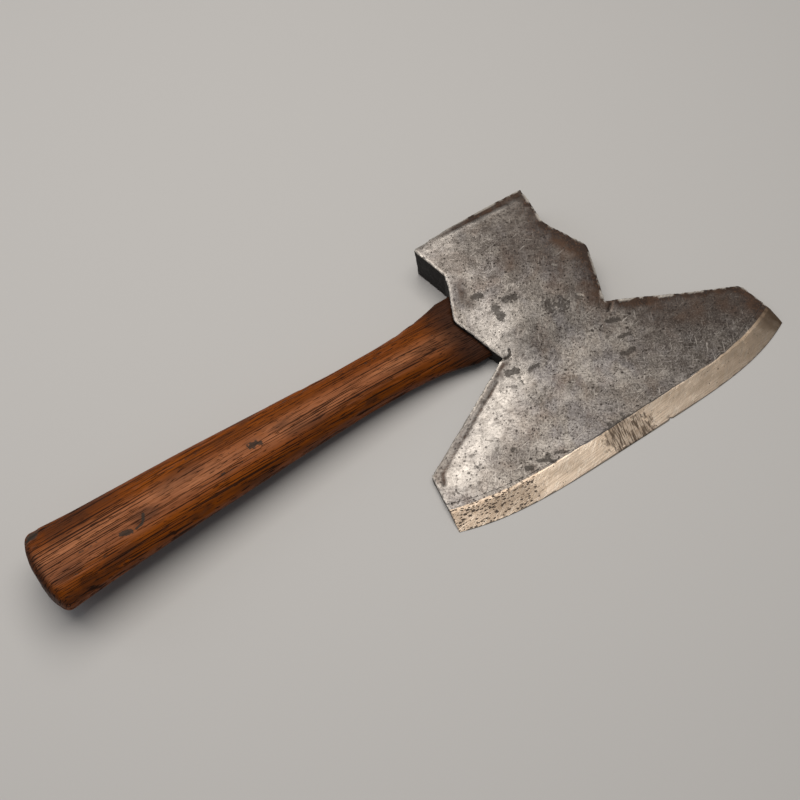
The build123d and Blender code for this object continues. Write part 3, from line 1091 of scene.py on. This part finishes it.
@dataclass
class Haft:
    """The haft: a grip drawn afresh round its own axis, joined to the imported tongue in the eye."""

    seam: float = -76.0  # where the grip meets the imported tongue
    seam_gap: float = 0.4  # between the two, bridged
    lug_face: float = -62.7
    reach: float = 345.0
    drift: float = 12.0  # sideways, at the butt
    drift_power: float = 1.6
    rise: float = 0.060
    eye_height: float = 11.75  # the axis above the flat back, at the lug
    around: int = 236
    along: float = 2.0
    cap_depth: float = 20.0
    cap_rings: int = 44
    flatness: float = 0.75  # of the fan of rays that finds each ring, as the haft's section is an oval
    groove_depth: float = 0.4
    plane_depth: float = 0.35
    crown_shift: float = 4.0  # the painted highlight along the top lies this far towards the edge's side
    marks: tuple[Stroke, ...] = (
        *strokes(
            Mask.STAIN,
            (3.6, 1.0, ((-348, -20), (-342, -21.5)), 0.2),
            (1.4, 1.3, ((-329, -14), (-333, -20), (-338, -21.5)), 0.3),
            (4.2, 0.95, ((-243, -8), (-237, -9.5)), 0.3),
            (6.5, 1.2, ((-402, 13), (-396, 15)), 1.4),
        ),
        *strokes(
            Mask.GRIME_AND_SHADE,
            (8.0, 0.9, ((-382, -41), (-366, -41)), 1.3),
            (6.0, 0.9, ((-300, -35), (-290, -34)), 1.2),
            (5.0, 0.8, ((-153, -22), (-148, -21)), 1.2),
            (9.0, 0.5, ((-212, -12), (-190, -14))),
            (18, 0.6, ((-382, 6), (-350, 12))),
            (10, 0.4, ((-310, -4), (-286, -2))),
        ),
    )

    def axis(self, x: np.ndarray) -> tuple[np.ndarray, np.ndarray, np.ndarray]:
        """Finds the haft's axis at x.

        Args:
            x: places along the frame.

        Returns:
            The station behind the lug, and the axis's y and z there.
        """
        station = self.lug_face - x
        run = np.maximum(station, 0.0)
        y = -self.drift * (run / self.reach) ** self.drift_power
        return station, y, self.eye_height + self.rise * station

    def ring_points(self, tree: BVHTree) -> np.ndarray:
        """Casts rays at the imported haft, ring by ring, from the seam to the butt.

        Args:
            tree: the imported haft's surface.

        Returns:
            The points, by ring and by place round it.
        """
        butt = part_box("handle")[0].x / MM
        cap = butt + self.cap_depth
        runs = round((self.seam - cap) / self.along)
        rings = [(self.seam + (cap - self.seam) * k / runs, 0.0) for k in range(runs + 1)]
        rings += [(cap, math.radians(90) * k / (self.cap_rings + 1)) for k in range(1, self.cap_rings + 1)]
        found = []
        for x, tilt in rings:
            _, y, z = self.axis(np.array(x))
            middle = Vector((x, float(y), float(z)))
            for k in range(self.around):
                angle = 2 * math.pi * k / self.around
                across = Vector((0, math.cos(angle), math.sin(angle) * self.flatness)).normalized()
                ray = across * math.cos(tilt) + Vector((-1, 0, 0)) * math.sin(tilt)
                found.append(tree.ray_cast((middle + ray * CLEAR) * MM, -ray)[0])
        return np.array(found).reshape(len(rings), self.around, 3)

    def grip(self, mesh: bmesh.types.BMesh, tree: BVHTree) -> None:
        """Adds the grip to the mesh that holds the tongue, and bridges the two.

        Args:
            mesh: the tongue, open at the seam.
            tree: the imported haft's surface.
        """
        opening = [edge for edge in mesh.edges if edge.is_boundary]
        points = self.ring_points(tree)
        rings = [[mesh.verts.new(p) for p in ring] for ring in points]
        for near, far in zip(rings, rings[1:]):
            for k in range(self.around):
                after = (k + 1) % self.around
                mesh.faces.new((near[k], near[after], far[after], far[k]))
        butt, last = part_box("handle")[0].x, rings[-1]
        _, y, z = self.axis(np.array(butt / MM))
        hit = tree.ray_cast(Vector((butt - 0.1, y * MM, z * MM)), Vector((1, 0, 0)))[0]
        tip = mesh.verts.new(hit)
        for k in range(self.around):
            mesh.faces.new((last[k], last[(k + 1) % self.around], tip))
        first = [mesh.edges.get((rings[0][k], rings[0][(k + 1) % self.around])) for k in range(self.around)]
        bmesh.ops.bridge_loops(mesh, edges=opening + first)
        bmesh.ops.recalc_face_normals(mesh, faces=mesh.faces)

    def wear(self, skin: Skin) -> None:
        """Opens the grain, leaves the tool's facets and paints the wood's masks.

        Args:
            skin: the whole haft.
        """
        points, tilt = skin.points, skin.normals[:, 2]
        x = points[:, 0]
        station, y, z = self.axis(x)
        grain = np.stack([station, points[:, 1] - y, points[:, 2] - z], axis=1)
        free = ease(x, self.seam + 4, self.seam - 8)
        side = np.abs(skin.normals[:, 0]) < 0.5
        groove = ease(ripple(grain, (60, 1.6, 2.6), 11, 1), 0.3, 0.6) * self.groove_depth * side
        facet = ripple(grain, (48, 11, 9), 12, 2) * self.plane_depth
        bruise = ease(ripple(grain, (16, 8, 8), 13, 2), 0.42, 0.7) * 0.5
        sunk = groove + facet + bruise + skin.draw(self.marks, wander=0.3)
        skin.points = points - skin.normals * (sunk * free)[:, None]

        near_lug, underside, butt_rim = ease(station, 36, 2), ease(tilt, -0.1, -0.7), ease(-x, 399, 406)
        smudge = ease(ripple(grain, (42, 13, 13), 14, 3), 0.1, 0.65)
        # Darker towards the lug, in random smudges and round the butt's rim, and painted shade on the faces
        # turned down.
        for grime_and_shade in (0.85 * near_lug, 0.5 * smudge, 0.3 * underside, 0.75 * butt_rim):
            skin.paint(Mask.GRIME_AND_SHADE, grime_and_shade)
        skin.paint(Mask.STAIN, 0.35 * groove / self.groove_depth)
        # A painted highlight along the top of the haft, widening towards the butt.
        half = 9.0 + 6.0 * ease(station, 180, 340)
        across = np.abs(grain[:, 1] + self.crown_shift)
        top = ease(tilt, 0.3, 0.8) * side
        skin.paint(Mask.CROWN_HIGHLIGHT, ease(across, 1.3 * half, 0.15 * half) * top)
        self.grain = grain * MM

    def build(self) -> bpy.types.Object:
        """Makes the haft.

        Returns:
            The piece.
        """
        tree = surface("handle")
        mesh = bmesh.new()
        mesh.from_mesh(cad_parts["handle"].data)
        bmesh.ops.remove_doubles(mesh, verts=mesh.verts, dist=MM * 0.001)
        everything = mesh.verts[:] + mesh.edges[:] + mesh.faces[:]
        place, normal = Vector((self.seam + self.seam_gap, 0, 0)) * MM, Vector((1, 0, 0))
        bmesh.ops.bisect_plane(mesh, geom=everything, plane_co=place, plane_no=normal, clear_inner=True)
        self.grip(mesh, tree)
        skin = Skin(mesh)
        self.wear(skin)
        piece = skin.finish("hickory_haft", sharp=60)
        layer = piece.data.attributes.new(GRAIN, "FLOAT_VECTOR", "POINT")
        layer.data.foreach_set("vector", self.grain.astype(np.float32).ravel())
        piece.data.materials.append(OiledHickory().build())
        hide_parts("handle")
        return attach(piece, BODY)


@dataclass
class Wedges:
    """The wooden wedge in the haft's kerf and the two steel ones across it, shown as they were packed."""

    def build(self) -> list[bpy.types.Object]:
        """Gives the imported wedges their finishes.

        Returns:
            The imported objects.
        """
        finishes = {"eye_wedge": SawnWedge().build(), "steel_wedges": HammeredWedge().build()}
        for node, material in finishes.items():
            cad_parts[node].material_slots[0].material = material
        return [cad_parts[node] for node in finishes]


@dataclass(frozen=True)
class SoftBox:
    """A soft lamp, placed by its direction from what it lights. Sizes are in metres."""

    name: str
    bearing: float  # degrees from +Y towards +X
    height: float  # degrees above the floor
    distance: float
    width: float
    depth: float
    watts: float
    colour: str

    def build(self, target: Vector) -> None:
        """Makes the lamp.

        Args:
            target: the point it faces.
        """
        lamp = bpy.data.lights.new(self.name, "AREA")
        lamp.shape = "RECTANGLE"
        lamp.size, lamp.size_y = self.width, self.depth
        lamp.energy = self.watts
        lamp.color = linear(self.colour)[:3]
        bearing, height = math.radians(self.bearing), math.radians(self.height)
        level = math.cos(height)
        way = Vector((math.sin(bearing) * level, math.cos(bearing) * level, math.sin(height)))
        body = show(self.name, lamp)
        body.location = target + way * self.distance
        body.rotation_euler = (-way).to_track_quat("-Z", "Y").to_euler()


@dataclass
class Studio:
    """The pale floor, the soft lamps and the camera. Lengths are in metres."""

    target: Triple = (-0.1256, -0.0174, 0.0)
    distance: float = 0.952
    azimuth: float = -34.56
    elevation: float = 58.73
    lens: float = 58.5
    floor_size: float = 8.0
    floor_gap: float = 0.0002
    floor_colour: str = "#c9c7c4"
    air_colour: str = "#c8ccd2"
    air_strength: float = 0.22
    lit: Triple = (0.0, -0.02, 0.0)  # the point the lamps face
    lamps: tuple[SoftBox, ...] = (
        SoftBox("overhead_softbox", -10, 77, 1.5, 1.55, 1.55, 20, "#fffaf4"),
        SoftBox("side_softbox", -50, 32, 2.2, 1.2, 1.0, 4, "#f6f8ff"),
    )

    def camera(self) -> None:
        """Places the camera."""
        turn, tilt = math.radians(self.azimuth), math.radians(self.elevation)
        level = math.cos(tilt)
        back = Vector((math.sin(turn) * level, -math.cos(turn) * level, math.sin(tilt)))
        data = bpy.data.cameras.new("camera")
        data.lens = self.lens
        body = show("camera", data)
        body.location = Vector(self.target) + back * self.distance
        body.rotation_euler = (math.pi / 2 - tilt, 0, turn)
        bpy.context.scene.camera = body

    def floor(self) -> None:
        """Lays the floor, a smooth matt board."""
        half = self.floor_size / 2
        signs = ((-1, -1), (1, -1), (1, 1), (-1, 1))
        corners = [(x * half, y * half, -self.floor_gap) for x, y in signs]
        data = bpy.data.meshes.new("floor")
        data.from_pydata(corners, [], [(0, 1, 2, 3)])
        nodes = Nodes("pale_board")
        inputs = {"Base Color": linear(self.floor_colour), "Roughness": 0.6, "IOR": 1.45}
        shader = nodes.add("BsdfPrincipled", inputs)
        nodes.add("OutputMaterial", {"Surface": shader.outputs[0]})
        data.materials.append(nodes.material)
        body = show("floor", data)

    def air(self) -> None:
        """Fills the room with even light."""
        world = bpy.data.worlds.new("room")
        world.use_nodes = True
        background = world.node_tree.nodes["Background"]
        background.inputs["Color"].default_value = linear(self.air_colour)
        background.inputs["Strength"].default_value = self.air_strength
        bpy.context.scene.world = world

    def build(self) -> None:
        """Makes the whole studio."""
        self.floor()
        self.air()
        self.camera()
        for lamp in self.lamps:
            lamp.build(Vector(self.lit))


def main() -> None:
    """Builds the axe and its studio."""
    logging.basicConfig(level=logging.INFO, format="%(name)s: %(message)s")
    bpy.context.scene.view_settings.view_transform = "Standard"
    pieces = [*Head().build(), Haft().build(), *Wedges().build()]
    for piece in pieces:
        LOG.info("%s: %d faces", piece.name, len(piece.data.polygons))
    Studio().build()


if __name__ == "__main__":
    main()
